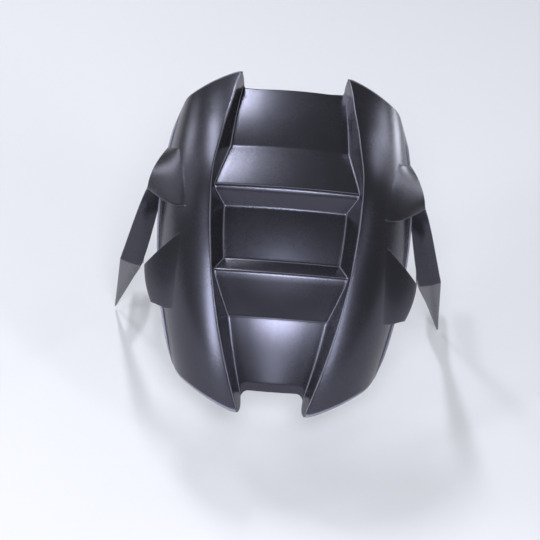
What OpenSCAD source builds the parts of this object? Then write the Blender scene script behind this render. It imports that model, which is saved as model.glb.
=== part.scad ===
// Rear hugger mudguard: a one-piece moulded shell that arches close over a
// motorcycle's rear tyre and stands on its swingarm.
// Two long ridges bound a sunken channel. In the channel a ramp climbs to a cross
// crest, the surface drops to a plain recessed panel, climbs to a second crest and
// ramps down again. A long arm sweeps down each side to a tab with two screw holes,
// and a lower ear stands off each skirt.
// Millimetres. X points to the motorcycle's right, Y forward, Z up. The origin is
// the middle of the four screw holes, on the underside of the tabs.
// Angles are measured about the wheel axle, up from straight behind it.

/* [Wheel] */
// How far the wheel axle lies ahead of the middle of the screw holes
axle_ahead = 25; // [10:1:45]
// How far the wheel axle lies below the seat of the tabs
axle_below = 95; // [70:1:120]

/* [Shell] */
// Radius of the channel floor about the axle
floor_radius = 330; // [325:1:345]
// Height of the two ridges above the channel floor
ridge_height = 16; // [10:0.5:20]
// Radius of the skirts' lower rim about the axle
rim_radius = 288; // [280:1:300]
// Thickness of the moulded wall
wall = 3; // [2:0.1:4]
// How far the rim's lip turns out
lip = 2.4; // [0:0.1:4]
// Fall of the channel floor from its middle to its sides
crown = 3; // [0:0.5:6]

/* [Plan] */
// Half the spacing of the ridges at their widest
ridge_half = 66.7; // [60:0.1:75]
// Half the width of the channel floor at its widest
floor_half = 53.8; // [45:0.1:58]
// Half the width over the skirts at their widest
skirt_half = 112; // [105:0.1:116]

/* [Channel] */
// Angle of the floor's front edge
front_angle = 76; // [74:0.1:80]
// Angle where the front ramp leaves the floor
ramp_front = 64.1; // [62:0.1:66]
// Angle of the front crest
crest_front = 56.2; // [55:0.1:58]
// Angle of the recessed panel's front end
panel_front = 53.6; // [52:0.1:54.5]
// Angle of the recessed panel's rear end
panel_rear = 45.1; // [44:0.1:47]
// Angle of the rear crest
crest_rear = 42.6; // [41:0.1:43]
// Angle where the rear ramp meets the floor
ramp_rear = 36.4; // [35:0.1:38]
// Angle where the rear edge starts to roll down
roll_angle = 26.4; // [26:0.1:30]
// Angle of the floor's rear edge
rear_angle = 25; // [24:0.1:26]
// Height of the two crests above the floor
crest_height = 12.8; // [8:0.1:15]
// Arc that each crest keeps its height, in degrees
crest_flat = 0.4; // [0.2:0.1:1]
// How far the rear edge rolls down
roll_drop = 4.5; // [0:0.5:8]

/* [Ends] */
// Angle that the front horns of the ridges reach
horn_front = 77; // [76:0.1:79]
// Angle that the rear horns of the ridges reach
horn_rear = 22.4; // [21:0.1:24]
// Angle of the skirts' front corners
corner_front = 76.1; // [74:0.1:78]
// How far the front edge is cut back between horn and corner, in degrees
corner_cut = 2.9; // [0:0.1:4]
// Angle of the skirts' rear corners
corner_rear = 26.3; // [25:0.1:28]

/* [Arms] */
// Thickness of the arms' moulded band
band_wall = 3; // [2:0.1:5]
// Outward bulge across the band
band_bulge = 1.5; // [0:0.1:3]
// Depth, at the fold, of the web that stiffens the band along its outer edge
web_depth = 24; // [12:1:30]
// Height that the scoop stands above the band at its step
scoop_step = 7; // [5:0.5:9]

/* [Ears] */
// How far the ears reach out beyond the skirts' widest point
ear_reach = 9.8; // [5:0.1:14]
// How far the ears' outer edge stands above the rim
ear_rise = 5; // [0:0.5:12]
// Thickness of the ears
ear_wall = 3; // [2:0.1:4]

/* [Mounting tabs] */
// Spacing of the screw holes from left to right
hole_span = 290; // [282:1:294]
// Spacing of the two screw holes of one tab
hole_pitch = 22; // [18:1:26]
// Diameter of the screw holes, a clearance for 6 mm screws
hole_diameter = 6.5; // [5.5:0.1:7]
// Thickness of the tabs' necks
tab_thickness = 4; // [3:0.5:6]
// How far the seat around the holes stands below the neck
seat_step = 1.5; // [1:0.1:3]

/* [Hidden] */
// The one piece of this part
// Which piece to draw
// Slope of the skirt beside the ridge and at the rim
slope_top = 20;
slope_rim = 80;
// Rows of the shell along the arch, and lanes on the outer side of each ridge
rows_free = 8;
lanes_side = 12;

// A point at half width x, radius r and angle a about the wheel axle
function about_axle(x, r, a) = [x, axle_ahead - r * cos(a), r * sin(a) - axle_below];

// A point given from the wheel axle
function from_axle(p) = [p[0], p[1] + axle_ahead, p[2] - axle_below];

// What is drawn on the skirts follows their width and the rim's radius
WIDE = skirt_half / 112;
HIGH = rim_radius / 288;
function on_skirt(p) = [p[0] * WIDE, p[1] * HIGH, p[2] * HIGH];

function unit(v) = v / max(norm(v), 0.0001);

function mix(a, b, t) = a + (b - a) * t;

// A half width that is widest at angle mid and narrows towards both ends
function swell(a, mid, half, front_loss, front_arc, rear_loss, rear_arc, p) =
    half - (a > mid ? front_loss * pow((a - mid) / front_arc, p)
                    : rear_loss * pow((mid - a) / rear_arc, p));

function ridge_x(a) = swell(a, 56, ridge_half, 19.8, 20.4, 36.6, 33.1, 1.9);

function foot_x(a) = swell(a, 54, floor_half, 9.7, 24.5, 26.2, 29.6, 1.8);

function rim_x(a) = swell(a, 57, skirt_half, 12.2, 19.4, 24.5, 31, 2);

// Height of the ridge, a little lower towards both horns
function ridge_rise(a) =
    ridge_height - (a > 56 ? 3 * pow((a - 56) / 21, 2) : 4 * pow((56 - a) / 34, 2));

// The lip runs out towards both corners of the skirt
function lip_at(a) =
    lip * max(0.3, min(1, min((corner_front - a) / 5, (a - corner_rear) / 5)));

function rim_r(a) =
    rim_radius + (a > 57 ? 16 * pow((a - 57) / 19.4, 2) : 4 * pow((57 - a) / 31, 2));

// Stations from one key of the channel to the next, without the last one
function run(a0, h0, a1, h1, n) =
    [for (k = [0 : n - 1]) [mix(a0, a1, k / n), mix(h0, h1, k / n)]];

// Angle and height of each row of the channel, from the front edge to the rear one
STATIONS = concat(
    run(front_angle, 0, ramp_front, 0, rows_free),
    run(ramp_front, 0, crest_front, crest_height, 4),
    run(crest_front, crest_height, crest_front - crest_flat, crest_height, 1),
    run(crest_front - crest_flat, crest_height, panel_front, 0, 2),
    run(panel_front, 0, panel_rear, 0, 4),
    run(panel_rear, 0, crest_rear + crest_flat, crest_height, 2),
    run(crest_rear + crest_flat, crest_height, crest_rear, crest_height, 1),
    run(crest_rear, crest_height, ramp_rear, 0, 3),
    run(ramp_rear, 0, roll_angle, 0, rows_free),
    [[roll_angle, 0], [mix(roll_angle, rear_angle, 0.6), -roll_drop * 0.35],
     [rear_angle, -roll_drop]]
);
ROWS = len(STATIONS);

// Lanes across one half: three on the floor, its foot, the ridge, the side, the lip
FLOOR_LANES = [0, 0.36, 0.7];
LANES = 3 + 2 + lanes_side + 1;

// Share of the skirt's width and of its drop at step q of its rounded side
function side_turn(q) = mix(slope_top, slope_rim, q);
function side_out(q) =
    (sin(side_turn(q)) - sin(slope_top)) / (sin(slope_rim) - sin(slope_top));
function side_down(q) =
    (cos(slope_top) - cos(side_turn(q))) / (cos(slope_top) - cos(slope_rim));

// Step along the rounded side for lane k
function side_step(k) = min(1, (k - 4) / lanes_side);

// Angles that lane k reaches at the front and at the rear
function lane_front(k) =
    k < 3 ? front_angle
    : k == 3 ? mix(front_angle, horn_front, 0.3)
    : let (out = side_out(side_step(k)))
        mix(horn_front, corner_front, pow(out, 6)) - corner_cut * (out - pow(out, 6));
function lane_rear(k) =
    k < 3 ? rear_angle
    : k == 3 ? mix(rear_angle, horn_rear, 0.5)
    : mix(horn_rear, corner_rear, pow(side_out(side_step(k)), 1.35));

// Angle of row i in lane k: only the ends of the rows follow the lane's own ends
function row_angle(i, k) =
    let (a = STATIONS[i][0])
    a > ramp_front
        ? mix(ramp_front, lane_front(k), (a - ramp_front) / (front_angle - ramp_front))
    : a < ramp_rear
        ? mix(ramp_rear, lane_rear(k), (ramp_rear - a) / (ramp_rear - rear_angle))
    : a;

// Point of the outer face in lane k of row i, on the positive side
function skin_point(i, k) =
    let (
        a = row_angle(i, k),
        h = STATIONS[i][1],
        rise = ridge_rise(a),
        xr = ridge_x(a),
        xf = mix(foot_x(a), xr, max(0, h) / rise),
        share = k < 3 ? FLOOR_LANES[k] : 1,
        q = side_step(k)
    )
    k < 4 ? about_axle(share * xf,
                       floor_radius + h * (k < 3 ? 1 : h < 0 ? 0.3 : 1)
                       - crown * share * share, a)
    : k == 4 ? about_axle(xr, floor_radius + rise, a)
    : k < 5 + lanes_side
        ? about_axle(mix(xr, rim_x(a), side_out(q)),
                     mix(floor_radius + rise, rim_r(a), side_down(q)), a)
    : about_axle(rim_x(a) + lip_at(a), rim_r(a) - 0.8, a);

// The same for signed lane c, from the left rim to the right rim
COLUMNS = 2 * LANES - 1;
function cell(i, c) =
    let (k = c - (LANES - 1), p = skin_point(i, abs(k)))
    [k < 0 ? -p[0] : p[0], p[1], p[2]];

// Outward direction of a grid of points at one of its cells
function grid_normal(g, i, c, n, m) =
    let (
        p = g[i][c],
        down = (i > 0 ? unit(p - g[i - 1][c]) : [0, 0, 0])
             + (i < n - 1 ? unit(g[i + 1][c] - p) : [0, 0, 0]),
        across = (c > 0 ? unit(p - g[i][c - 1]) : [0, 0, 0])
               + (c < m - 1 ? unit(g[i][c + 1] - p) : [0, 0, 0])
    )
    unit(cross(down, across));

// Closed plate under a grid of points; thickness is a function of the share of the
// way across
module plate(g, thickness) {
    n = len(g);
    m = len(g[0]);
    top = [for (i = [0 : n - 1]) for (c = [0 : m - 1]) g[i][c]];
    under = [for (i = [0 : n - 1]) for (c = [0 : m - 1])
        g[i][c] - thickness(c / (m - 1)) * grid_normal(g, i, c, n, m)];
    u = n * m;
    polyhedron(
        points = concat(top, under),
        faces = concat(
            [for (i = [0 : n - 2]) for (c = [0 : m - 2]) each [
                [i * m + c, i * m + c + 1, (i + 1) * m + c + 1],
                [i * m + c, (i + 1) * m + c + 1, (i + 1) * m + c]]],
            [for (i = [0 : n - 2]) for (c = [0 : m - 2]) each [
                [u + i * m + c, u + (i + 1) * m + c + 1, u + i * m + c + 1],
                [u + i * m + c, u + (i + 1) * m + c, u + (i + 1) * m + c + 1]]],
            [for (i = [0 : n - 2]) each [
                [i * m, (i + 1) * m, u + (i + 1) * m],
                [i * m, u + (i + 1) * m, u + i * m]]],
            [for (i = [0 : n - 2]) each [
                [i * m + m - 1, u + (i + 1) * m + m - 1, (i + 1) * m + m - 1],
                [i * m + m - 1, u + i * m + m - 1, u + (i + 1) * m + m - 1]]],
            [for (c = [0 : m - 2]) each [
                [c, u + c + 1, c + 1],
                [c, u + c, u + c + 1]]],
            [for (c = [0 : m - 2]) each [
                [(n - 1) * m + c, (n - 1) * m + c + 1, u + (n - 1) * m + c + 1],
                [(n - 1) * m + c, u + (n - 1) * m + c + 1, u + (n - 1) * m + c]]]
        ),
        convexity = 8
    );
}

// The arched shell with its ridges, channel, skirts and rolled rear edge
module arch() {
    plate([for (i = [0 : ROWS - 1]) [for (c = [0 : COLUMNS - 1]) cell(i, c)]],
        function(t) wall);
}

// Radius of the skirt's outer face at half width x
function skirt_r(x, a) =
    let (
        out = min(1, max(0, (x - ridge_x(a)) / (rim_x(a) - ridge_x(a)))),
        turn = asin(mix(sin(slope_top), sin(slope_rim), out)),
        down = (cos(slope_top) - cos(turn)) / (cos(slope_top) - cos(slope_rim))
    )
    mix(floor_radius + ridge_rise(a), rim_r(a), down);

// Point of a four-point curve
function curve(p, t) =
    pow(1 - t, 3) * p[0] + 3 * pow(1 - t, 2) * t * p[1]
    + 3 * (1 - t) * t * t * p[2] + pow(t, 3) * p[3];

// Edges of the right arm's band from the wheel axle, from the scoop to the fold
BAND_OUTER = [for (p = [[110, -116, 272], [137, -166, 248], [134, -157, 229],
                        [148.2, -152.4, 171.5]]) on_skirt(p)];
BAND_INNER = [for (p = [[106, -146, 262], [116, -160, 232], [119, -156, 196],
                        [128.6, -151, 164.3]]) on_skirt(p)];
// Both sides of the band's pointed tip
TIP_OUTER = on_skirt([159.5, -59.6, 54.3]);
TIP_INNER = on_skirt([157.5, -60.2, 55.4]);

// Outer corners of the right scoop from the wheel axle, and the bow between them
SCOOP_PEAK = on_skirt([110.4, -116, 272.4]);
SCOOP_BOW = on_skirt([126.1, -144.4, 266.1]);
SCOOP_TOE = on_skirt([124.5, -157, 253.4]);

// Long band that sweeps down and outwards, with a fold above its pointed tip, and the
// web that turns forward from its outer edge
module band() {
    upper = 12;
    lower = 5;
    first = 3;
    outer = concat(
        [for (i = [first : upper]) curve(BAND_OUTER, i / upper)],
        [for (i = [1 : lower]) mix(BAND_OUTER[3], TIP_OUTER, i / lower)]);
    inner = concat(
        [for (i = [first : upper]) curve(BAND_INNER, i / upper)],
        [for (i = [1 : lower]) mix(BAND_INNER[3], TIP_INNER, i / lower)]);
    fold = upper - first;
    web_way = [-0.12, 0.97, -0.1];
    web_top = on_skirt([106.3, -102.5, 271]);
    web_foot = BAND_OUTER[3] + web_way * web_depth;
    web_edge = [web_top, web_top + [7, -17, -22], web_foot + [-8, 5, 32], web_foot];
    function far(i) =
        i < fold ? curve(web_edge, i / fold)
        : outer[i] + web_way * web_depth * (1 - 0.88 * (i - fold) / lower);
    plate([for (i = [0 : len(outer) - 1]) concat(
        [for (c = [0 : 3]) from_axle(mix(inner[i], outer[i], c / 3)
            - [0, 1, 0] * band_bulge * sin(60 * c))],
        [for (c = [1 : 2]) from_axle(mix(outer[i], far(i), c / 2))])],
        function(t) band_wall);
}

// Raised facet above the band, with a wall that turns in from its edge: the step that
// faces down and to the rear
module scoop() {
    n = 7;
    function head(s) =
        let (x = mix(101.2, 90.1, s) - 0.7 * sin(180 * s), a = mix(64.2, 52.7, s))
        [x * WIDE, a];
    function root(s, sunk) =
        let (q = head(s), r = skirt_r(q[0], q[1]) + (sunk ? -1.4 : 0.5))
        about_axle(q[0] - (sunk ? 1.2 : 0), r, q[1]);
    function edge(s) =
        from_axle(mix(mix(SCOOP_PEAK, SCOOP_BOW, s), mix(SCOOP_BOW, SCOOP_TOE, s), s));
    plate([for (i = [0 : n]) concat([root(i / n, true)],
        [for (c = [0 : n])
            let (s = i / n, t = c / n, bulge = 3 * sin(180 * t) * (0.5 + 0.5 * s))
            mix(root(s, false), edge(s), t)
                + [0.45, -0.65, 0.6] * bulge
                + [0, -0.4, -0.9] * 4 * s * s * sin(180 * t)],
        [edge(i / n) + unit([-0.45, 0.6, -0.65]) * (scoop_step + 2)])],
        function(t) mix(0.8, wall * 0.8, min(1, 4 * t)));
}

// Lower ear that stands off the skirt
module ear() {
    n = 7;
    function root_x(s) = mix(90.4, 94, s) * WIDE;
    function root_a(s) = mix(48.1, 37, s);
    plate([for (i = [0 : n]) concat(
        [about_axle(root_x(i / n) - 1.2, skirt_r(root_x(i / n), root_a(i / n)) - 1.2,
                    root_a(i / n))],
        [for (c = [0 : n])
            let (s = i / n, t = c / n,
                 x_out = skirt_half + ear_reach - 1.5 * s - 7.2 * s * s,
                 r_in = skirt_r(root_x(s), root_a(s)) + 0.5)
            about_axle(mix(root_x(s), x_out, t),
                       mix(r_in, rim_radius + ear_rise, t) + 2.4 * sin(180 * t),
                       mix(root_a(s), mix(44.4, 37.8, s), t))])],
        function(t) mix(0.8, ear_wall, min(1, 4 * t)));
}

// Point of the lower band's edge, from its fold to its tip, at height z above the axle
function tip_at(fold, tip, z) = mix(fold, tip, (fold[2] - z) / (fold[2] - tip[2]));

// Flat foot inside the corner of band and web: a neck, and a seat that stands below it
// around two holes for the fixing screws
module tab() {
    x = hole_span / 2;
    z = axle_below + seat_step + tab_thickness / 2;
    outer = tip_at(BAND_OUTER[3], TIP_OUTER, z);
    inner = tip_at(BAND_INNER[3], TIP_INNER, z);
    root = outer[1] + axle_ahead + band_wall * 0.62;
    pad = -hole_pitch / 2 - 9;
    difference() {
        union() {
            translate([0, 0, seat_step])
                linear_extrude(height = tab_thickness)
                    polygon([[x - 9, pad + 12], [x + 8, pad + 14],
                             [outer[0] - 1.6, root], [inner[0] + 1, root],
                             [mix(inner[0], x - 11, 0.35), mix(root, pad, 0.4)],
                             [mix(inner[0], x - 11, 0.75), mix(root, pad, 0.75)],
                             [x - 11, pad + 6]]);
            linear_extrude(height = tab_thickness + seat_step)
                polygon([[x - 11, pad + 3], [x - 11, -pad - 3], [x - 8, -pad],
                         [x + 7, -pad], [x + 10, -pad - 3], [x + 10, pad + 3],
                         [x + 7, pad], [x - 8, pad]]);
        }
        for (y = [-1, 1])
            translate([x, y * hole_pitch / 2, -1])
                cylinder(h = tab_thickness + seat_step + 2, d = hole_diameter, $fn = 48);
    }
}

// Everything that is fixed to one side of the arch
module side_parts() {
    band();
    scoop();
    ear();
    tab();
}

module mudguard_shell() {
    color([0.05, 0.05, 0.06])
    union() {
        arch();
        side_parts();
        mirror([1, 0, 0]) side_parts();
    }
}

mudguard_shell();
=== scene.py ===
"""Rear hugger mudguard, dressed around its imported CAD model.

The shell, its arms, scoops, ears and tabs are one moulding, so one piece stands for the
whole node. Sizes are in millimetres and angles in degrees about the wheel axle, up from
straight behind it. X points to the motorcycle's right, Y forward and Z up.
"""
import math

import bmesh
import bpy
import numpy as np
from mathutils import Matrix, Vector

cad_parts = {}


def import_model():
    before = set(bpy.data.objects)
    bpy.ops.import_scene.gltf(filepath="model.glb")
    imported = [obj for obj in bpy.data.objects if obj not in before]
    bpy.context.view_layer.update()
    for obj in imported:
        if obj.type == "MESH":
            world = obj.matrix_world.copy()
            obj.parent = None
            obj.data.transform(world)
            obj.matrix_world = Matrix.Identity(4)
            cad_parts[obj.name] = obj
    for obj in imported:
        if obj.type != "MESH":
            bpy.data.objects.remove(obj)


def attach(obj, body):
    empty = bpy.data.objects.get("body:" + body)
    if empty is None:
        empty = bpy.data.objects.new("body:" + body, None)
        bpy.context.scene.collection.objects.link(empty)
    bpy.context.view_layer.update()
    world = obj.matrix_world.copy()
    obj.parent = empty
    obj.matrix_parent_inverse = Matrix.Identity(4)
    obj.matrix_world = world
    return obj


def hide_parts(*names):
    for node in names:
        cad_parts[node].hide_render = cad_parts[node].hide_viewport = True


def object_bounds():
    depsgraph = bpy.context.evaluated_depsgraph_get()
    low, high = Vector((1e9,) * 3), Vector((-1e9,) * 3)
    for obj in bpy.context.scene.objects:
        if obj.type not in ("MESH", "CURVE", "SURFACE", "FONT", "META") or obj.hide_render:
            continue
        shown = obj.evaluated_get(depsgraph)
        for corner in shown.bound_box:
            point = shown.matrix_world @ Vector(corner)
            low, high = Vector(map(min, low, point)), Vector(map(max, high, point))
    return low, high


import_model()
cad_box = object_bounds()

# Wheel
AXLE = np.array([0.0, 25.0, -95.0])

# Shell
FLOOR_RADIUS = 330.0
RIDGE_HEIGHT = 16.0
RIM_RADIUS = 288.0
WALL = 3.0
LIP = 2.4
CROWN = 3.0
RIDGE_HALF = 66.7
FLOOR_HALF = 53.8
SKIRT_HALF = 112.0
SLOPE_TOP = math.radians(20)
SLOPE_RIM = math.radians(80)

# Channel, as angle and height above its floor from front to rear
FRONT = 76.0
RAMP_FRONT = 64.1
RAMP_REAR = 36.4
ROLL = 26.4
REAR = 25.0
CREST = 12.8
CREST_FRONT = 56.2
PANEL_FRONT = 53.6
PANEL_REAR = 45.1
CREST_REAR = 43.0
CHANNEL = [(FRONT, 0), (RAMP_FRONT, 0), (CREST_FRONT, CREST), (55.8, CREST), (55.35, CREST - 1.6),
           (PANEL_FRONT, 0), (PANEL_REAR, 0), (CREST_REAR, CREST), (42.7, CREST), (42.0, CREST - 0.9),
           (RAMP_REAR, 0), (ROLL, 0), (25.7, -1.4), (REAR, -4.6)]

# Pale lines along the creases, the foot and ridge lines and the edges: light rub wear and painted
# highlight lines
CREASE_RUB_HIGHLIGHTS = ((CREST_FRONT, 0.8), (PANEL_FRONT, 0.5), (PANEL_REAR, 0.5), (CREST_REAR, 0.8),
               (RAMP_REAR, 0.3))
FOOT_RUB_HIGHLIGHT = 0.7
RIDGE_RUB_HIGHLIGHT = 0.8
EDGE_RUB_HIGHLIGHT = 0.8
RIM_RUB_HIGHLIGHT = 1.2

# Ends of the ridges and corners of the skirts
HORN_FRONT = 77.2
HORN_REAR = 22.3
CORNER_FRONT = 76.1
CORNER_REAR = 26.3
CORNER_CUT = 2.9


def mix(a, b, t):
    return a + (b - a) * t


def once(items):
    """The items in their own order, each one once."""
    return list(dict.fromkeys(items))


def unit(v):
    return v / max(np.linalg.norm(v), 1e-9)


def blend_in(t):
    t = min(1, max(0, t))
    return t * t * (3 - 2 * t)


def about_axle(x, r, a):
    """Point at half width x, radius r and angle a about the axle."""
    a = math.radians(a)
    return AXLE + np.array([x, -r * math.cos(a), r * math.sin(a)])


def swell(a, mid, half, front_loss, front_arc, rear_loss, rear_arc, p):
    """Half width that is widest at angle mid and narrows towards both ends."""
    if a > mid:
        return half - front_loss * ((a - mid) / front_arc) ** p
    return half - rear_loss * ((mid - a) / rear_arc) ** p


def ridge_x(a):
    plain = swell(a, mid=56, half=RIDGE_HALF, front_loss=19.8, front_arc=20.4,
                  rear_loss=36.6, rear_arc=33.1, p=1.9)
    return plain - 1.5 * blend_in((a - 58) / 6) + 4.6 * blend_in((a - 69) / 9)


def foot_x(a):
    plain = swell(a, mid=54, half=FLOOR_HALF, front_loss=9.7, front_arc=24.5,
                  rear_loss=26.2, rear_arc=29.6, p=1.8)
    return plain + 1.2 * blend_in((a - 57) / 5)


def rim_x(a):
    return swell(a, mid=57, half=SKIRT_HALF, front_loss=12.2, front_arc=19.4,
                 rear_loss=24.5, rear_arc=31, p=2)


def ridge_r(a):
    fall = 3 * ((a - 56) / 21) ** 2 if a > 56 else 4 * ((56 - a) / 34) ** 2
    return FLOOR_RADIUS + RIDGE_HEIGHT - fall


def rim_r(a):
    return RIM_RADIUS + (16 * ((a - 57) / 19.4) ** 2 if a > 57 else 4 * ((57 - a) / 31) ** 2)


def lip_at(a):
    """The lip runs out towards both corners of the skirt."""
    return LIP * max(0.2, min(1, (CORNER_FRONT - a) / 5, (a - CORNER_REAR) / 5))


def side_out(q):
    """Share of the skirt's half width at share q of its turn."""
    turn = mix(SLOPE_TOP, SLOPE_RIM, q)
    return (math.sin(turn) - math.sin(SLOPE_TOP)) / (math.sin(SLOPE_RIM) - math.sin(SLOPE_TOP))


def drop_at(turn):
    """Share of the skirt's drop where its face slopes by turn."""
    return (math.cos(SLOPE_TOP) - math.cos(turn)) / (math.cos(SLOPE_TOP) - math.cos(SLOPE_RIM))


def skirt_r(x, a):
    """Radius of the skirt's outer face at half width x."""
    out = min(1, max(0, (x - ridge_x(a)) / (rim_x(a) - ridge_x(a))))
    turn = math.asin(mix(math.sin(SLOPE_TOP), math.sin(SLOPE_RIM), out))
    return mix(ridge_r(a), rim_r(a), drop_at(turn))


KERNEL = np.linspace(-1, 1, 13)
WEIGHTS = (1 - np.abs(KERNEL)) + 0.08
WEIGHTS = WEIGHTS / WEIGHTS.sum()


def channel_height(b, reach):
    """Height of the channel at row angle b, its creases rounded over reach degrees."""
    angles = [-p[0] for p in CHANNEL]
    heights = [p[1] for p in CHANNEL]
    reach = min(reach, max(0.0, b - REAR), max(0.0, FRONT - b) + 0.01)
    return float(np.dot(WEIGHTS, np.interp(-(b + KERNEL * reach), angles, heights)))


def along(line):
    """Distance along a line of points."""
    return np.concatenate([[0], np.cumsum(np.linalg.norm(np.diff(line, axis=0), axis=1))])


def rounded(line, places, reach):
    """Points of a line at the given distances, its corners rounded over reach."""
    s = along(line)
    places = np.asarray(places, float)
    room = np.minimum(places - s[0], s[-1] - places)
    reach = np.minimum(reach, np.maximum(room, 0))
    at = places[:, None] + reach[:, None] * KERNEL[None, :]
    return np.stack([np.interp(at, s, line[:, c]) @ WEIGHTS for c in range(3)], axis=1)


def front_end(u):
    """Angle that lane u reaches at the front: floor to 1, wall to 2, side to 3, lip to 4."""
    if u < 1:
        t = max(0, (u - 0.86) / 0.14)
        return FRONT + 0.8 * (1 - math.sqrt(1 - t * t)) + 0.9 * t ** 6
    if u < 2:
        return mix(FRONT + 1.7, HORN_FRONT + 0.3, u - 1) - 0.45 * (u - 1) ** 5
    out = side_out(min(1, u - 2))
    tip = 0.45 * math.exp(-out / 0.04)
    cut = CORNER_CUT * (out - out ** 6)
    corner = 1.3 * max(0, (out - 0.9) / 0.1) ** 2
    return mix(HORN_FRONT + 0.3, CORNER_FRONT + 0.4, out ** 6) - cut - tip - corner


def rear_end(u):
    """Angle that lane u reaches at the rear."""
    if u < 1:
        return REAR - 0.9 * max(0, (u - 0.72) / 0.28) ** 2.4
    if u < 2:
        return mix(REAR - 0.9, HORN_REAR, 1 - (2 - u) ** 3.4)
    out = side_out(min(1, u - 2))
    tip = 0.35 * (1 - math.exp(-out / 0.06))
    corner = 1.0 * max(0, (out - 0.88) / 0.12) ** 2
    return mix(HORN_REAR, CORNER_REAR, out ** 1.35) - tip * (1 - out) + corner


def row_angle(b, u):
    """Angle of row b in lane u: only the ends of the rows follow the lanes' own ends."""
    if b > RAMP_FRONT:
        return mix(RAMP_FRONT, front_end(u), (b - RAMP_FRONT) / (FRONT - RAMP_FRONT))
    if b < RAMP_REAR:
        return mix(RAMP_REAR, rear_end(u), (RAMP_REAR - b) / (RAMP_REAR - REAR))
    return b


def skin_point(b, u, reach):
    """Sharp-cornered point of the outer face in row b and lane u."""
    a = row_angle(b, u)
    h = channel_height(b, reach)
    rr = ridge_r(a)
    xr = ridge_x(a)
    xf = mix(foot_x(a), xr, max(0, h) / (rr - FLOOR_RADIUS))
    if h < 0:
        h = h * mix(1, 0.3, blend_in((u - 0.75) / 0.25))
    if u <= 1:
        return about_axle(u * xf, FLOOR_RADIUS + h - CROWN * u * u, a)
    if u <= 2:
        return about_axle(mix(xf, xr, u - 1), mix(FLOOR_RADIUS + h - CROWN, rr, u - 1), a)
    if u <= 3:
        q = u - 2
        down = drop_at(mix(SLOPE_TOP, SLOPE_RIM, q))
        return about_axle(mix(xr, rim_x(a), side_out(q)), mix(rr, rim_r(a), down), a)
    return about_axle(rim_x(a) + lip_at(a) * (u - 3), rim_r(a) - 0.8 * (u - 3), a)


LANES_DENSE = np.concatenate([np.linspace(0, 1, 60), np.linspace(1, 2, 24)[1:],
                              np.linspace(2, 3, 90)[1:], np.linspace(3, 4, 6)[1:]])
FLOOR_SHARES = [0.1, 0.2, 0.3, 0.4, 0.5, 0.6]
NEAR_FOOT = [8.0, 5.4, 3.6, 2.4, 1.4, 0.7, 0.0]
WALL_SHARES = [0.1, 0.22, 0.4, 0.58, 0.76, 0.9, 1.0]
NEAR_RIDGE = [0.7, 1.4, 2.3, 3.4, 5.0, 7.2, 10.0]
SIDE_LANES = 22
NEAR_RIM = [2.4, 1.2, 0.0]

# Distances over which the corners are rounded: across the shell, and along it in degrees
FOOT_REACH = 1.9
RIDGE_REACH = 1.3
RIM_REACH = 1.5
CREASE_REACH = 0.33
UNDER_MORE = 3.4
UNDER_CREASE_REACH = 0.75

# Rows beside each crease and at the rear roll, and the step between the others
CREASE_STEPS = (0, 0.13, 0.27, 0.45, 0.7)
ROLL_ROWS = [26.0, 25.7, 25.5, 25.25]
ROW_STEP = 0.5
ROW_GAP = 0.3


def section(b, more=0.0, crease_reach=CREASE_REACH):
    """Points across one row of the outer face, from the left lip to the right one."""
    line = np.array([skin_point(b, u, crease_reach) for u in LANES_DENSE])
    s = along(line)
    foot, ridge, rim = (float(np.interp(k, LANES_DENSE, s)) for k in (1, 2, 3))
    places = [foot * f for f in FLOOR_SHARES] + [foot - d for d in NEAR_FOOT]
    reaches = [FOOT_REACH + more] * len(places)
    places += [mix(foot, ridge, f) for f in WALL_SHARES]
    reaches += [mix(FOOT_REACH, RIDGE_REACH, f) + more for f in WALL_SHARES]
    start = ridge + NEAR_RIDGE[-1]
    stop = rim - NEAR_RIM[0]
    places += [ridge + d for d in NEAR_RIDGE]
    places += [mix(start, stop, (k + 1) / (SIDE_LANES + 1)) for k in range(SIDE_LANES)]
    places += [rim - d for d in NEAR_RIM] + [mix(rim, s[-1], 0.5), s[-1]]
    reaches += [RIM_REACH + more] * (len(places) - len(reaches))
    mirrored = line[:0:-1] * [-1, 1, 1]
    whole = np.concatenate([mirrored, line])
    right = rounded(whole, s[-1] + np.array([0.0] + places), np.array([1.0] + reaches))
    left = right[:0:-1] * [-1, 1, 1]
    return np.concatenate([left, right])


def shell_rows():
    """Row angles, close together at each crease of the channel."""
    rows = set()
    keys = [p[0] for p in CHANNEL if ROLL <= p[0] <= FRONT]
    for key in keys:
        for step in CREASE_STEPS:
            rows.add(round(key + step, 3))
            rows.add(round(key - step, 3))
    at = ROLL
    while at < FRONT:
        if min(abs(at - r) for r in rows) > ROW_GAP:
            rows.add(round(at, 3))
        at += ROW_STEP
    rows = [r for r in rows if ROLL - 0.2 < r < FRONT - 0.25]
    return sorted(rows + [FRONT, REAR] + ROLL_ROWS, reverse=True)


def grid_normals(grid):
    """Outward direction at each point of a grid."""
    down = np.gradient(grid, axis=0)
    across = np.gradient(grid, axis=1)
    normal = np.cross(down, across)
    return normal / np.maximum(np.linalg.norm(normal, axis=2, keepdims=True), 1e-9)


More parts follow.
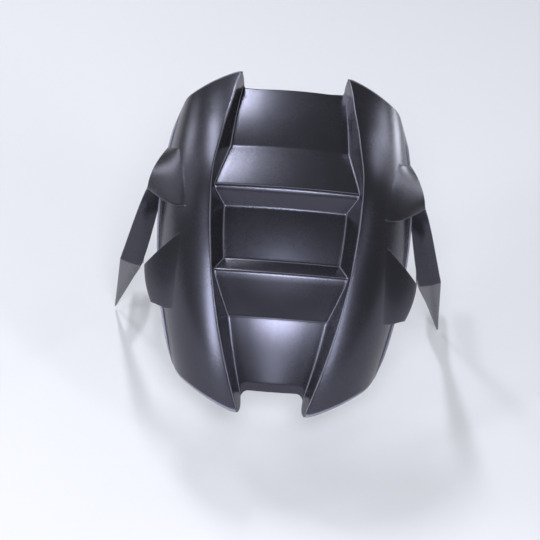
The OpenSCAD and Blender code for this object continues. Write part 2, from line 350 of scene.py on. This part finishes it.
def moulded_wall(bm, skin, under, round_off, rub_and_highlight=None):
    """Closed wall between two grids of points, with rounded edges."""
    rows, lanes = skin.shape[:2]
    number = bm.verts.layers.int["place"]
    rub_highlight_layer = bm.verts.layers.float["rub_and_highlight"]
    made = bmesh.ops.create_grid(bm, x_segments=lanes - 1, y_segments=rows - 1, size=1)
    for vert in made["verts"]:
        c = round((vert.co.x + 1) / 2 * (lanes - 1))
        i = round((vert.co.y + 1) / 2 * (rows - 1))
        vert[number] = i * lanes + c
    lower = list(made["verts"])
    faces = once(face for vert in lower for face in vert.link_faces)
    raised = bmesh.ops.extrude_face_region(bm, geom=faces, use_keep_orig=True)["geom"]
    upper = [part for part in raised if isinstance(part, bmesh.types.BMVert)]
    flat_skin = skin.reshape(-1, 3)
    flat_under = under.reshape(-1, 3)
    for vert in upper:
        vert.co = Vector(flat_skin[vert[number]]) * 0.001
        if rub_and_highlight is not None:
            vert[rub_highlight_layer] = float(rub_and_highlight.flat[vert[number]])
    for vert in lower:
        vert.co = Vector(flat_under[vert[number]]) * 0.001
    every = once(face for vert in upper + lower for face in vert.link_faces)
    bm.normal_update()
    bmesh.ops.recalc_face_normals(bm, faces=every)
    above = set(upper)
    rim = once(face for face in every if 0 < sum(v in above for v in face.verts) < len(face.verts))
    around = set(rim)
    edges = [edge for edge in once(e for face in rim for e in face.edges)
             if sum(face in around for face in edge.link_faces) == 1]
    rounded_off = bmesh.ops.bevel(bm, geom=edges, offset=round_off * 0.001, offset_type="OFFSET",
                                  segments=2, profile=0.5, affect="EDGES", clamp_overlap=True,
                                  material=-1)
    new_faces = set(rounded_off["faces"])
    new_verts = set(rounded_off["verts"])
    # The middle of each rounded edge gets the full edge value, a painted highlight line with light
    # rub; its sides take the value beside them
    for vert in new_verts:
        if all(face in new_faces for face in vert.link_faces):
            vert[rub_highlight_layer] = EDGE_RUB_HIGHLIGHT
        else:
            beside = [edge.other_vert(vert) for edge in vert.link_edges]
            vert[rub_highlight_layer] = max((v[rub_highlight_layer] for v in beside if v not in new_verts), default=0.0)


def arch(bm):
    """The arched shell with its ridges, channel, skirts and rolled rear edge."""
    rows = shell_rows()
    skin = np.array([section(b) for b in rows])
    # Pale lines painted along the foot and ridge lines, the creases and the rims: partly rub wear,
    # partly painted highlight
    rub_and_highlight = np.zeros(skin.shape[:2])
    middle = skin.shape[1] // 2
    foot = len(FLOOR_SHARES) + len(NEAR_FOOT)
    ridge = foot + len(WALL_SHARES)
    for lane, share in ((foot, FOOT_RUB_HIGHLIGHT), (ridge, RIDGE_RUB_HIGHLIGHT)):
        rub_and_highlight[:, middle - lane] = share
        rub_and_highlight[:, middle + lane] = share
    for crease, share in CREASE_RUB_HIGHLIGHTS:
        row = int(np.argmin([abs(b - crease) for b in rows]))
        rub_and_highlight[row, middle - foot:middle + foot + 1] = share
    skirts = [k for k in range(skin.shape[1]) if abs(k - middle) > ridge + 1]
    rub_and_highlight[:2, skirts] = RIM_RUB_HIGHLIGHT * 0.6
    rub_and_highlight[-2:, skirts] = RIM_RUB_HIGHLIGHT
    rub_and_highlight[:, [0, 1, -2, -1]] = RIM_RUB_HIGHLIGHT
    soft = np.array([section(b, UNDER_MORE, UNDER_CREASE_REACH) for b in rows])
    under = soft - WALL * grid_normals(soft)
    moulded_wall(bm, skin, under, 1.0, rub_and_highlight)


def curve(p, t):
    """Point at share t of a curve led by four points."""
    back = 1 - t
    return back ** 3 * p[0] + 3 * back ** 2 * t * p[1] + 3 * back * t * t * p[2] + t ** 3 * p[3]


# Edges of the right arm's band from the wheel axle, from the scoop to the fold
BAND_OUTER = np.array([[110, -116, 272], [131, -171, 252], [132.6, -160, 231],
                       [148.2, -152.4, 171.5]])
BAND_INNER = np.array([[106, -146, 262], [116, -160, 232], [119, -156, 196],
                       [128.6, -151, 164.3]])
TIP_OUTER = np.array([159.5, -59.6, 54.3])
TIP_INNER = np.array([157.5, -60.2, 55.4])
WEB_WAY = np.array([-0.12, 0.97, -0.1])
WEB_DEPTH = 24.0
WEB_TOP = np.array([106.3, -102.5, 271])

# Rows down the band and its tip, and lanes across the band and its web
BAND_START = 0.25
BAND_ROWS = 80
TIP_ROWS = 60
ACROSS = 24
BAND_SHARES = (0, 0.12, 0.28, 0.45, 0.62, 0.76, 0.88)
WEB_SHARES = (0.12, 0.3, 0.5, 0.7, 0.86, 1)
NEAR_CORNER = (-1.6, -0.8, 0, 0.8, 1.6)
NEAR_FOLD = (-3, -1.6, -0.8, 0, 0.8, 1.6, 3)
BAND_CORNER = len(BAND_SHARES) + 2
BAND_BOW = 1.5
BAND_WALL = 2.6
TIP_WALL = 1.3


def band_rows():
    """Outer edge, inner edge and far edge of the web, as rows down the arm."""
    shares = [BAND_START + (1 - BAND_START) * k / BAND_ROWS for k in range(BAND_ROWS + 1)]
    foot = BAND_OUTER[3] + WEB_WAY * WEB_DEPTH
    web = np.array([WEB_TOP, WEB_TOP + [7, -17, -22], foot + [-8, 5, 32], foot])
    tips = [k / TIP_ROWS for k in range(1, TIP_ROWS + 1)]
    outer = [curve(BAND_OUTER, t) for t in shares]
    outer += [mix(BAND_OUTER[3], TIP_OUTER, t) for t in tips]
    inner = [curve(BAND_INNER, t) for t in shares]
    inner += [mix(BAND_INNER[3], TIP_INNER, t) for t in tips]
    far = [curve(web, (t - BAND_START) / (1 - BAND_START)) for t in shares]
    far += [mix(BAND_OUTER[3], TIP_OUTER, t) + WEB_WAY * WEB_DEPTH * (1 - 0.88 * t) for t in tips]
    return np.array(outer), np.array(inner), np.array(far)


def band(bm, side):
    """Long band that sweeps down and outwards, with its fold and its stiffening web."""
    outer, inner, far = band_rows()
    grids = []
    for corner_reach, fold_reach in ((1.7, 1.6), (4.2, 4.0)):
        rows = []
        for i in range(len(outer)):
            across = []
            for c in range(ACROSS + 1):
                bow = np.array([0, BAND_BOW * math.sin(math.pi * c / ACROSS), 0])
                across.append(mix(inner[i], outer[i], c / ACROSS) - bow)
            across += [mix(outer[i], far[i], c / ACROSS) for c in range(1, ACROSS + 1)]
            line = np.array(across)
            s = along(line)
            corner = s[ACROSS]
            places = [corner * f for f in BAND_SHARES]
            gap = min(0.9, corner * 0.03, (s[-1] - corner) * 0.03)
            places += [corner + gap * k for k in NEAR_CORNER]
            places += [mix(corner, s[-1], f) for f in WEB_SHARES]
            reach = min(corner_reach, corner * 0.2)
            rows.append(rounded(line, places, np.full(len(places), reach)))
        rows = np.array(rows)
        lanes = []
        for c in range(rows.shape[1]):
            lane = rows[:, c]
            s = along(lane)
            fold = s[BAND_ROWS]
            places = list(np.linspace(0, fold - 5, 26)) + [fold + d for d in NEAR_FOLD]
            places += list(np.linspace(fold + 5, s[-1], 20))
            lanes.append(rounded(lane, places, np.full(len(places), fold_reach)))
        grids.append(np.stack(lanes, axis=1))
    skin, soft = grids
    share = np.linspace(0, 1, skin.shape[0])[:, None, None]
    wall = np.where(share > 0.8, mix(BAND_WALL, TIP_WALL, (share - 0.8) / 0.2), BAND_WALL)
    # Painted highlight line with light rub along the band's outer corner
    rub_and_highlight = np.zeros(skin.shape[:2])
    rub_and_highlight[:, BAND_CORNER:BAND_CORNER + 2] = RIM_RUB_HIGHLIGHT
    add_wall(bm, skin, soft - wall * grid_normals(soft), side, 0.45, rub_and_highlight)


def add_wall(bm, skin, under, side, round_off, rub_and_highlight=None):
    """Adds a wall on the right, or mirrored on the left, from points about the axle."""
    flip = np.array([side, 1, 1])
    moulded_wall(bm, (skin + AXLE) * flip, (under + AXLE) * flip, round_off, rub_and_highlight)


# Right scoop: its edge from the wheel axle, and its root on the skirt from front to rear
SCOOP_PEAK = np.array([110.4, -116, 272.4])
SCOOP_BOW = np.array([125.0, -144.4, 266.3])
SCOOP_TOE = np.array([125.6, -154, 249.6])
SCOOP_HALF = (101.2, 90.1)
SCOOP_ANGLE = (64.2, 52.7)
SCOOP_SHARES = (0, 0.06, 0.14, 0.24, 0.36, 0.48, 0.6, 0.72, 0.82)
SCOOP_EDGE = (-2, -1.2, -0.5, 0, 0.5, 1.2, 2)
SCOOP_CORNER = 1 + len(SCOOP_SHARES) + 3
SCOOP_TURNED = 9.0
SCOOP_WALL = 2.4

# Right ear: its root on the skirt and its outer edge from front to rear
EAR_HALF = (90.4, 94)
EAR_ANGLE = (49.1, 37)
EAR_EDGE_ANGLE = (44.4, 37.8)
EAR_EDGE_HALF = 121.8
EAR_EDGE_RADIUS = 293
EAR_SHARES = (0, 0.05, 0.12, 0.2, 0.3, 0.4, 0.5, 0.6, 0.7, 0.8, 0.9, 1)
EAR_WALL = 3.0
ROOT_WALL = 0.8


def skirt_point(x, a, above=0.0):
    """Point of the skirt's outer face, from the wheel axle."""
    return about_axle(x, skirt_r(x, a) + above, a) - AXLE


def leaving_skirt(x, a, way_x, way_a):
    """Unit direction in which a facet leaves the skirt's face."""
    return unit(skirt_point(x + way_x * 0.02, a + way_a * 0.02) - skirt_point(x, a))


def scoop(bm, side):
    """Raised facet above the band, with a wall turned in from its rounded edge."""
    rows = []
    for i in range(33):
        s = i / 32
        x = mix(*SCOOP_HALF, s) - 0.7 * math.sin(math.pi * s)
        a = mix(*SCOOP_ANGLE, s)
        edge = mix(mix(SCOOP_PEAK, SCOOP_BOW, s), mix(SCOOP_BOW, SCOOP_TOE, s), s)
        start = skirt_point(x - 3.0, a, -0.15)
        hold = np.linalg.norm(edge - start) * 0.33
        bulge = np.array([0.45, -0.65, 0.6]) * 2.2 * (0.5 + 0.5 * s)
        pull = [start, start + leaving_skirt(x - 3.0, a, 1, 0) * hold * 0.8 + bulge * 2.0,
                mix(start, edge, 0.66) + bulge * 1.25 + np.array([0, -0.4, -0.9]) * 3 * s * s, edge]
        line = [skirt_point(x - 4.4, a, -1.2)] + [curve(pull, c / ACROSS) for c in range(ACROSS + 1)]
        turned = edge + unit(np.array([-0.45, 0.6, -0.65])) * SCOOP_TURNED
        line += [mix(edge, turned, k / 8) for k in range(1, 9)]
        line = np.array(line)
        d = along(line)
        corner = d[ACROSS + 1]
        places = [0] + [mix(d[1], corner, f) for f in SCOOP_SHARES]
        places += [corner + k * min(1, (corner - d[1]) / 14) for k in SCOOP_EDGE]
        places += [mix(corner + 2, d[-1], f) for f in (0.25, 0.5, 0.75, 1)]
        reach = [0.2, 0.3] + [1.2] * 8 + [1.3] * 7 + [1.5] * 4
        rows.append(rounded(line, places, np.array(reach)))
    skin = np.array(rows)
    share = np.linspace(0, 1, skin.shape[1])[None, :, None]
    wall = mix(ROOT_WALL, SCOOP_WALL, np.minimum(1, 4 * share))
    # Painted highlight lines with light rub along the scoop's edge and its lower row
    rub_and_highlight = np.zeros(skin.shape[:2])
    rub_and_highlight[:, SCOOP_CORNER] = EDGE_RUB_HIGHLIGHT * 0.7
    rub_and_highlight[-1, 1:SCOOP_CORNER] = EDGE_RUB_HIGHLIGHT * 0.5
    add_wall(bm, skin, skin - wall * grid_normals(skin), side, 0.3, rub_and_highlight)


def ear(bm, side):
    """Lower ear that stands off the skirt."""
    rows = []
    for i in range(29):
        s = i / 28
        x = mix(*EAR_HALF, s)
        a = mix(*EAR_ANGLE, s)
        x_out = EAR_EDGE_HALF - 1.5 * s - 7.2 * s * s
        edge = about_axle(x_out, EAR_EDGE_RADIUS, mix(*EAR_EDGE_ANGLE, s)) - AXLE
        start = skirt_point(x - 2.0, a, -0.15)
        hold = np.linalg.norm(edge - start) * 0.36
        pull = [start, start + leaving_skirt(x - 2.0, a, 1, -0.12) * hold,
                mix(start, edge, 0.62) + unit(np.array([0.5, -0.6, 0.6])) * 3.0, edge]
        line = [skirt_point(x - 3.4, a, -1.2)] + [curve(pull, c / ACROSS) for c in range(ACROSS + 1)]
        line = np.array(line)
        d = along(line)
        places = [0] + [mix(d[1], d[-1], f) for f in EAR_SHARES]
        rows.append(rounded(line, places, np.full(len(places), 0.8)))
    skin = np.array(rows)
    share = np.linspace(0, 1, skin.shape[1])[None, :, None]
    wall = mix(ROOT_WALL, EAR_WALL, np.minimum(1, 4 * share))
    # Painted highlight line with light rub along the ear's upper edge
    rub_and_highlight = np.zeros(skin.shape[:2])
    rub_and_highlight[0] = EDGE_RUB_HIGHLIGHT
    add_wall(bm, skin, skin - wall * grid_normals(skin), side, 0.8, rub_and_highlight)


# Screw tabs
HOLE_SPAN = 290.0
HOLE_PITCH = 22.0
HOLE_DIAMETER = 6.5
TAB_THICKNESS = 4.0
SEAT_STEP = 1.5
SEAT_INSIDE = 11
SEAT_OUTSIDE = 8
SEAT_PAST_HOLE = 9
SEAT_CORNER = 3


def tip_at(fold, tip, z):
    return mix(fold, tip, (fold[2] - z) / (fold[2] - tip[2]))


def plate(bm, outline, holes, low, high, side):
    """Flat plate between two heights, with round holes and softened edges."""
    before = set(bm.faces)
    corners = [bm.verts.new((px * side * 0.001, py * 0.001, low * 0.001)) for px, py in outline]
    edges = [bm.edges.new((corners[k - 1], corners[k])) for k in range(len(corners))]
    verts = list(corners)
    for px, py, diameter in holes:
        place = Matrix.Translation((px * side * 0.001, py * 0.001, low * 0.001))
        ring = bmesh.ops.create_circle(bm, cap_ends=False, segments=40,
                                       radius=diameter / 2 * 0.001, matrix=place)["verts"]
        verts += ring
        edges += once(e for v in ring for e in v.link_edges)
    filled = bmesh.ops.triangle_fill(bm, use_beauty=True, use_dissolve=False, edges=edges)
    faces = [part for part in filled["geom"] if isinstance(part, bmesh.types.BMFace)]
    raised = bmesh.ops.extrude_face_region(bm, geom=faces, use_keep_orig=True)["geom"]
    top = [part for part in raised if isinstance(part, bmesh.types.BMVert)]
    bmesh.ops.translate(bm, verts=top, vec=(0, 0, (high - low) * 0.001))
    every = once(face for vert in verts + top for face in vert.link_faces)
    bm.normal_update()
    bmesh.ops.recalc_face_normals(bm, faces=every)
    sharp = [edge for edge in once(e for face in every for e in face.edges)
             if len(edge.link_faces) == 2 and edge.calc_face_angle(0) > 0.9]
    bmesh.ops.bevel(bm, geom=sharp, offset=0.0005, offset_type="OFFSET", segments=2,
                    profile=0.5, affect="EDGES", clamp_overlap=True, material=-1)
    bm.normal_update()
    for face in set(bm.faces) - before:
        face.smooth = abs(face.normal.z) < 0.99


def tab(bm, side):
    """Flat foot inside the corner of band and web: a neck, and a seat around two holes."""
    x = HOLE_SPAN / 2
    z = SEAT_STEP + TAB_THICKNESS / 2 - AXLE[2]
    outer = tip_at(BAND_OUTER[3], TIP_OUTER, z)
    inner = tip_at(BAND_INNER[3], TIP_INNER, z)
    root = outer[1] + AXLE[1] + 1.9
    pad = -HOLE_PITCH / 2 - SEAT_PAST_HOLE
    near = x - SEAT_INSIDE
    far = x + SEAT_OUTSIDE
    cut = SEAT_CORNER
    neck = [(near + 2, pad + 2 * cut), (far, pad + 2 * cut), (outer[0] - 1.6, root),
            (inner[0] + 1, root), (mix(inner[0], near, 0.35), mix(root, pad, 0.4)),
            (mix(inner[0], near, 0.75), mix(root, pad, 0.75)), (near, pad + cut)]
    seat = [(near, pad + cut), (near, -pad - cut), (near + cut, -pad), (far - cut, -pad),
            (far, -pad - cut), (far, pad + cut), (far - cut, pad), (near + cut, pad)]
    holes = [(x, y * HOLE_PITCH / 2, HOLE_DIAMETER) for y in (-1, 1)]
    plate(bm, neck, [], SEAT_STEP, SEAT_STEP + TAB_THICKNESS, side)
    plate(bm, seat, holes, 0, SEAT_STEP + TAB_THICKNESS + 0.02, side)


def mudguard():
    """The whole moulding as one object."""
    bm = bmesh.new()
    bm.verts.layers.int.new("place")
    # Per-point share of the pale lines: light rub wear and painted highlight
    bm.verts.layers.float.new("rub_and_highlight")
    arch(bm)
    for side in (1, -1):
        band(bm, side)
        scoop(bm, side)
        ear(bm, side)
    for face in bm.faces:
        face.smooth = True
    for side in (1, -1):
        tab(bm, side)
    mesh = bpy.data.meshes.new("hugger_moulding")
    bm.to_mesh(mesh)
    bm.free()
    piece = bpy.data.objects.new("hugger_moulding", mesh)
    bpy.context.scene.collection.objects.link(piece)
    return piece


class Value:
    """A shader socket on which sums can be written."""

    def __init__(self, tree, socket):
        self.tree = tree
        self.socket = socket

    def maths(self, operation, *others):
        node = self.tree.nodes.new("ShaderNodeMath")
        node.operation = operation
        for slot, item in zip(node.inputs, (self,) + others):
            if isinstance(item, Value):
                self.tree.links.new(item.socket, slot)
            else:
                slot.default_value = item
        return Value(self.tree, node.outputs[0])

    def __add__(self, other):
        return self.maths("ADD", other)

    def __mul__(self, other):
        return self.maths("MULTIPLY", other)

    __radd__ = __add__
    __rmul__ = __mul__


class Finish:
    """A material and the nodes in it."""

    def __init__(self, name):
        self.material = bpy.data.materials.new(name)
        self.material.use_nodes = True
        self.tree = self.material.node_tree
        self.shader = self.tree.nodes["Principled BSDF"]

    def node(self, kind, settings=None, out=0, **sockets):
        """Adds a node: its settings first, then the values or links of its sockets."""
        node = self.tree.nodes.new(kind)
        for key, value in (settings or {}).items():
            setattr(node, key, value)
        for key, value in sockets.items():
            self.put(node.inputs[key.replace("_", " ")], value)
        return Value(self.tree, node.outputs[out])

    def put(self, slot, value):
        if isinstance(value, Value):
            self.tree.links.new(value.socket, slot)
        else:
            slot.default_value = value

    def ramp(self, value, stops):
        node = self.tree.nodes.new("ShaderNodeValToRGB")
        shades = node.color_ramp
        while len(shades.elements) < len(stops):
            shades.elements.new(0.5)
        for element, (position, grey) in zip(shades.elements, stops):
            element.position = position
            element.color = (grey, grey, grey, 1)
        self.tree.links.new(value.socket, node.inputs[0])
        return Value(self.tree, node.outputs[0])

    def shade(self, dark, light, factor):
        node = self.tree.nodes.new("ShaderNodeMix")
        node.data_type = "RGBA"
        self.put(node.inputs[0], factor)
        self.put(node.inputs[6], dark)
        self.put(node.inputs[7], light)
        return Value(self.tree, node.outputs[2])


# Colours of the plastic, of dust on it, and of its rubbed edges with painted highlight lines
PLASTIC = (0.0085, 0.0082, 0.0094, 1)
DUSTY = (0.05, 0.049, 0.054, 1)
RUBBED_AND_HIGHLIT = (0.2, 0.2, 0.24, 1)


def satin_black():
    """Moulded black plastic with a satin paint: fine grain, a little dust, and faint rubs with
    painted highlight lines along the edges and creases.
    """
    finish = Finish("satin_black_plastic")
    place = finish.node("ShaderNodeTexCoord", out=3)
    grain = finish.node("ShaderNodeTexNoise", Vector=place, Scale=1600.0, Detail=2.0, Roughness=0.55)
    cloud = finish.node("ShaderNodeTexNoise", Vector=place, Scale=22.0, Detail=4.0, Roughness=0.6)
    speck = finish.node("ShaderNodeTexNoise", Vector=place, Scale=620.0, Detail=1.0, Roughness=0.5)
    dust = finish.ramp(speck, [(0.66, 0), (0.74, 1)]) * finish.ramp(cloud, [(0.45, 0), (0.7, 1)])
    # The pale lines on the edges and creases are partly rub wear and partly painted highlight
    rub_and_highlight = finish.node("ShaderNodeAttribute", {"attribute_name": "rub_and_highlight"}, out=2)
    rub_highlight = rub_and_highlight * (cloud * 0.8 + 0.3)
    plain = finish.shade(PLASTIC, DUSTY, dust * 0.6 + cloud * 0.06)
    finish.put(finish.shader.inputs["Base Color"], finish.shade(plain, RUBBED_AND_HIGHLIT, rub_highlight))
    finish.put(finish.shader.inputs["Roughness"], cloud * 0.06 + grain * 0.03 + 0.225)
    bump = finish.tree.nodes.new("ShaderNodeBump")
    bump.inputs["Strength"].default_value = 0.12
    bump.inputs["Distance"].default_value = 0.0001
    finish.put(bump.inputs["Height"], grain)
    finish.tree.links.new(bump.outputs[0], finish.shader.inputs["Normal"])
    finish.shader.inputs["Specular IOR Level"].default_value = 0.72
    finish.shader.inputs["Specular Tint"].default_value = (0.78, 0.79, 1.0, 1)
    return finish.material


piece = mudguard()
piece.data.materials.append(satin_black())
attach(piece, "root")
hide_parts("mudguard_shell")


FLOOR_GAP = 0.004


def floor():
    """Plain pale floor under the lowest point of the part."""
    low = cad_box[0][2]
    bm = bmesh.new()
    place = Matrix.Translation((0, 0.6, low - FLOOR_GAP))
    bmesh.ops.create_grid(bm, x_segments=2, y_segments=2, size=6.0, matrix=place)
    mesh = bpy.data.meshes.new("pale_floor")
    bm.to_mesh(mesh)
    bm.free()
    ground = bpy.data.objects.new("pale_floor", mesh)
    bpy.context.scene.collection.objects.link(ground)
    finish = Finish("pale_floor")
    finish.shader.inputs["Base Color"].default_value = (0.66, 0.66, 0.65, 1)
    finish.shader.inputs["Roughness"].default_value = 0.9
    mesh.materials.append(finish.material)


# Lamps, in metres
LAMP_AIM = Vector((0, -0.14, 0.12))
LAMP_AWAY = 2.2
LAMP_COLOUR = (0.88, 0.9, 1.0)


def softbox(name, turn, lean, wide, long, strength):
    """Soft lamp aimed at the part. turn is its angle up from straight behind, over the
    top towards the front; lean is how far it stands to the right. wide and long are the
    angles that it spans from side to side and from rear to front."""
    turn = math.radians(turn)
    lean = math.radians(lean)
    back = math.cos(turn)
    up = math.sin(turn)
    way = Vector((math.sin(lean), -math.cos(lean) * back, math.cos(lean) * up))
    side = Vector((math.cos(lean), math.sin(lean) * back, -math.sin(lean) * up))
    light = bpy.data.lights.new(name, "AREA")
    light.shape = "RECTANGLE"
    light.size = 2 * LAMP_AWAY * math.tan(math.radians(wide) / 2)
    light.size_y = 2 * LAMP_AWAY * math.tan(math.radians(long) / 2)
    light.energy = strength * math.pi * light.size * light.size_y
    light.color = LAMP_COLOUR
    holder = bpy.data.objects.new(name, light)
    turned = Matrix((side, way.cross(side), way)).transposed().to_4x4()
    holder.matrix_world = Matrix.Translation(LAMP_AIM + way * LAMP_AWAY) @ turned
    bpy.context.scene.collection.objects.link(holder)


# Camera, in metres and degrees
CAMERA_PLACE = (-0.00973, -1.81809, 1.19555)
CAMERA_DOWN = 33.508
CAMERA_ROLL = 4.3


def camera():
    data = bpy.data.cameras.new("camera")
    data.sensor_width = 36
    data.lens = 147
    data.clip_end = 50
    holder = bpy.data.objects.new("camera", data)
    tilt = Matrix.Rotation(math.radians(90 - CAMERA_DOWN), 4, "X")
    roll = Matrix.Rotation(math.radians(CAMERA_ROLL), 4, "Z")
    holder.matrix_world = Matrix.Translation(CAMERA_PLACE) @ tilt @ roll
    bpy.context.scene.collection.objects.link(holder)
    bpy.context.scene.camera = holder


def world():
    sky = bpy.data.worlds.new("studio")
    sky.use_nodes = True
    bpy.context.scene.world = sky
    tree = sky.node_tree
    tree.nodes["Background"].inputs["Color"].default_value = (0.93, 0.94, 1.0, 1)
    tree.nodes["Background"].inputs["Strength"].default_value = 0.14


floor()
camera()
world()
softbox("behind", 37, 1, 14, 9, 49)
softbox("behind_low", 18, 0, 10, 14, 6)
softbox("behind_high", 56, 0, 6, 6, 14)
softbox("behind_left", 25, -46, 6, 34, 30)
softbox("behind_right", 25, 39, 6, 36, 20)
softbox("high_left", 68, -50, 5, 22, 3)
softbox("high_right", 68, 52, 5, 22, 2)
softbox("above_left", 116, -38, 7, 24, 14)
softbox("above", 122, -13, 5, 15, 60)
softbox("ahead_left", 140, -62, 22, 30, 0.8)
softbox("ahead_low", 164, -20, 10, 6, 8)
softbox("ahead_right", 140, 46, 10, 26, 4.5)
softbox("ahead_low_right", 163, 53, 14, 20, 0.8)
softbox("ahead_low_left", 158, -50, 8, 10, 5)
softbox("low_right", 184, 43, 12, 14, 8.5)
bpy.context.scene.view_settings.view_transform = "Standard"
